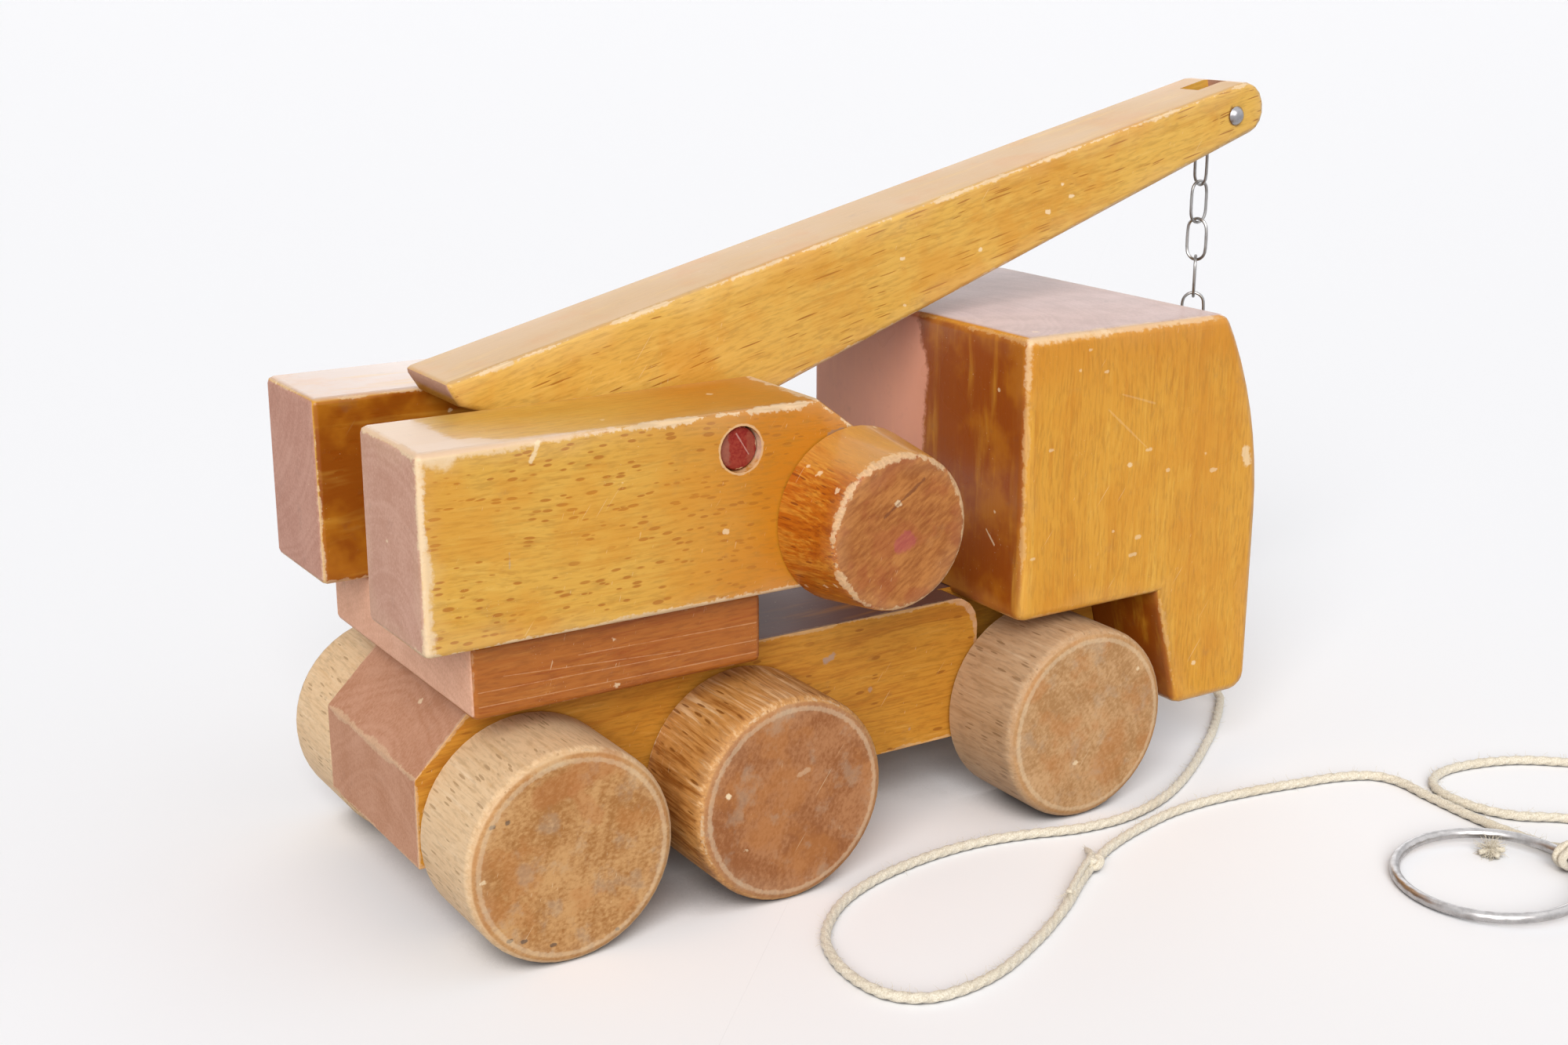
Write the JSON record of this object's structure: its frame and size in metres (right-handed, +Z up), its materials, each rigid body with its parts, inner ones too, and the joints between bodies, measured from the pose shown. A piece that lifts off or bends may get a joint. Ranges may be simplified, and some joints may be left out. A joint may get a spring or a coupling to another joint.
{
  "type": "wooden toy crane truck",
  "caption": "Wooden toy crane truck: block cab, beam chassis on thick wheels, slewing base, luffing boom with chain and hook, side knob, and a pull cord with a steel ring.",
  "frame": {"origin": "on the floor, under the middle of the truck's bounding box without its pull cord", "axes": "+X forwards, towards the cab and the boom's tip; +Y to the truck's left; +Z up"},
  "size_m": [0.3184, 0.2121, 0.1789],
  "materials": {
    "lacquered_beech": "satin amber lacquer, worn pale at the edges",
    "worn_beech": "worn, nearly bare, with mottled end grain",
    "plate_beech": "reddish satin lacquer with fine scratches",
    "red_dowel": "matt red stain",
    "plain_dowel": "bare, smooth",
    "steel": "plain bright wire, dulled by handling",
    "cotton": "off-white twisted cotton"
  },
  "bodies": {
    "truck": {"chassis_beam": "lacquered_beech", "cab_block": "lacquered_beech", "cab_rear_dowel": "plain_dowel", "cab_front_dowel": "plain_dowel", "pull_cord": "cotton", "cord_tail": "cotton", "pull_ring": "steel", "ring_tie": "cotton", "tail_knot": "cotton"},
    "rear_wheelset": {"rear_axle": "plain_dowel", "rear_right_wheel": "worn_beech", "rear_left_wheel": "worn_beech"},
    "middle_wheelset": {"middle_axle": "plain_dowel", "middle_right_wheel": "worn_beech", "middle_left_wheel": "worn_beech"},
    "front_wheelset": {"front_axle": "plain_dowel", "front_right_wheel": "worn_beech", "front_left_wheel": "worn_beech"},
    "crane_base": {"turntable_plate": "plate_beech", "turntable_peg": "plain_dowel", "right_cheek": "lacquered_beech", "right_cheek_rear_dowel": "plain_dowel", "right_cheek_front_dowel": "plain_dowel", "left_cheek": "lacquered_beech", "left_cheek_rear_dowel": "plain_dowel", "left_cheek_front_dowel": "plain_dowel", "boom_pivot_dowel": "red_dowel"},
    "crane_boom": {"boom": "lacquered_beech", "tip_pin": "steel"},
    "winding_knob": {"knob": "lacquered_beech", "knob_axle": "red_dowel", "lifting_cam": "lacquered_beech"},
    "chain_top": {"chain_link_01": "steel"},
    "hanging_chain": {"chain_link_02": "steel", "chain_link_03": "steel", "chain_link_04": "steel", "chain_link_05": "steel", "chain_link_06": "steel"},
    "hanging_hook": {"crane_hook": "steel"}
  },
  "joints": [
    {"name": "rear_wheels_roll", "type": "hinge", "parent": "truck", "child": "rear_wheelset", "pos_m": [-0.10299, 0.0057, 0.02495], "axis": [0, 1, 0], "continuous": true},
    {"name": "middle_wheels_roll", "type": "hinge", "parent": "truck", "child": "middle_wheelset", "pos_m": [-0.04659, 0.0057, 0.02495], "axis": [0, 1, 0], "continuous": true},
    {"name": "front_wheels_roll", "type": "hinge", "parent": "truck", "child": "front_wheelset", "pos_m": [0.04181, 0.0057, 0.02495], "axis": [0, 1, 0], "continuous": true},
    {"name": "crane_slew", "type": "hinge", "parent": "truck", "child": "crane_base", "pos_m": [-0.08359, 0.0057, 0.05535], "axis": [0, 0, 1], "continuous": true},
    {"name": "boom_luff", "type": "hinge", "parent": "crane_base", "child": "crane_boom", "pos_m": [-0.05559, 0.0057, 0.10785], "axis": [0, -1, 0], "range_deg": [0, 18]},
    {"name": "knob_turn", "type": "hinge", "parent": "crane_base", "child": "winding_knob", "pos_m": [-0.02559, 0.0057, 0.08875], "axis": [0, 1, 0], "range_deg": [0, 108]},
    {"name": "chain_hang", "type": "hinge", "parent": "crane_boom", "child": "chain_top", "pos_m": [0.12111, 0.0057, 0.17028], "axis": [0, -1, 0], "range_deg": [-20, 2]},
    {"name": "chain_sway", "type": "hinge", "parent": "chain_top", "child": "hanging_chain", "pos_m": [0.12111, 0.0057, 0.16088], "axis": [1, 0, 0], "range_deg": [-20, 20]},
    {"name": "hook_swing", "type": "hinge", "parent": "hanging_chain", "child": "hanging_hook", "pos_m": [0.12111, 0.0057, 0.10888], "axis": [0.7193, -0.6947, 0], "range_deg": [-20, 20]}
  ],
  "couplings": [
    {"joint": "knob_turn", "follows": "boom_luff", "ratio": 6},
    {"joint": "chain_hang", "follows": "boom_luff", "ratio": -1}
  ]
}
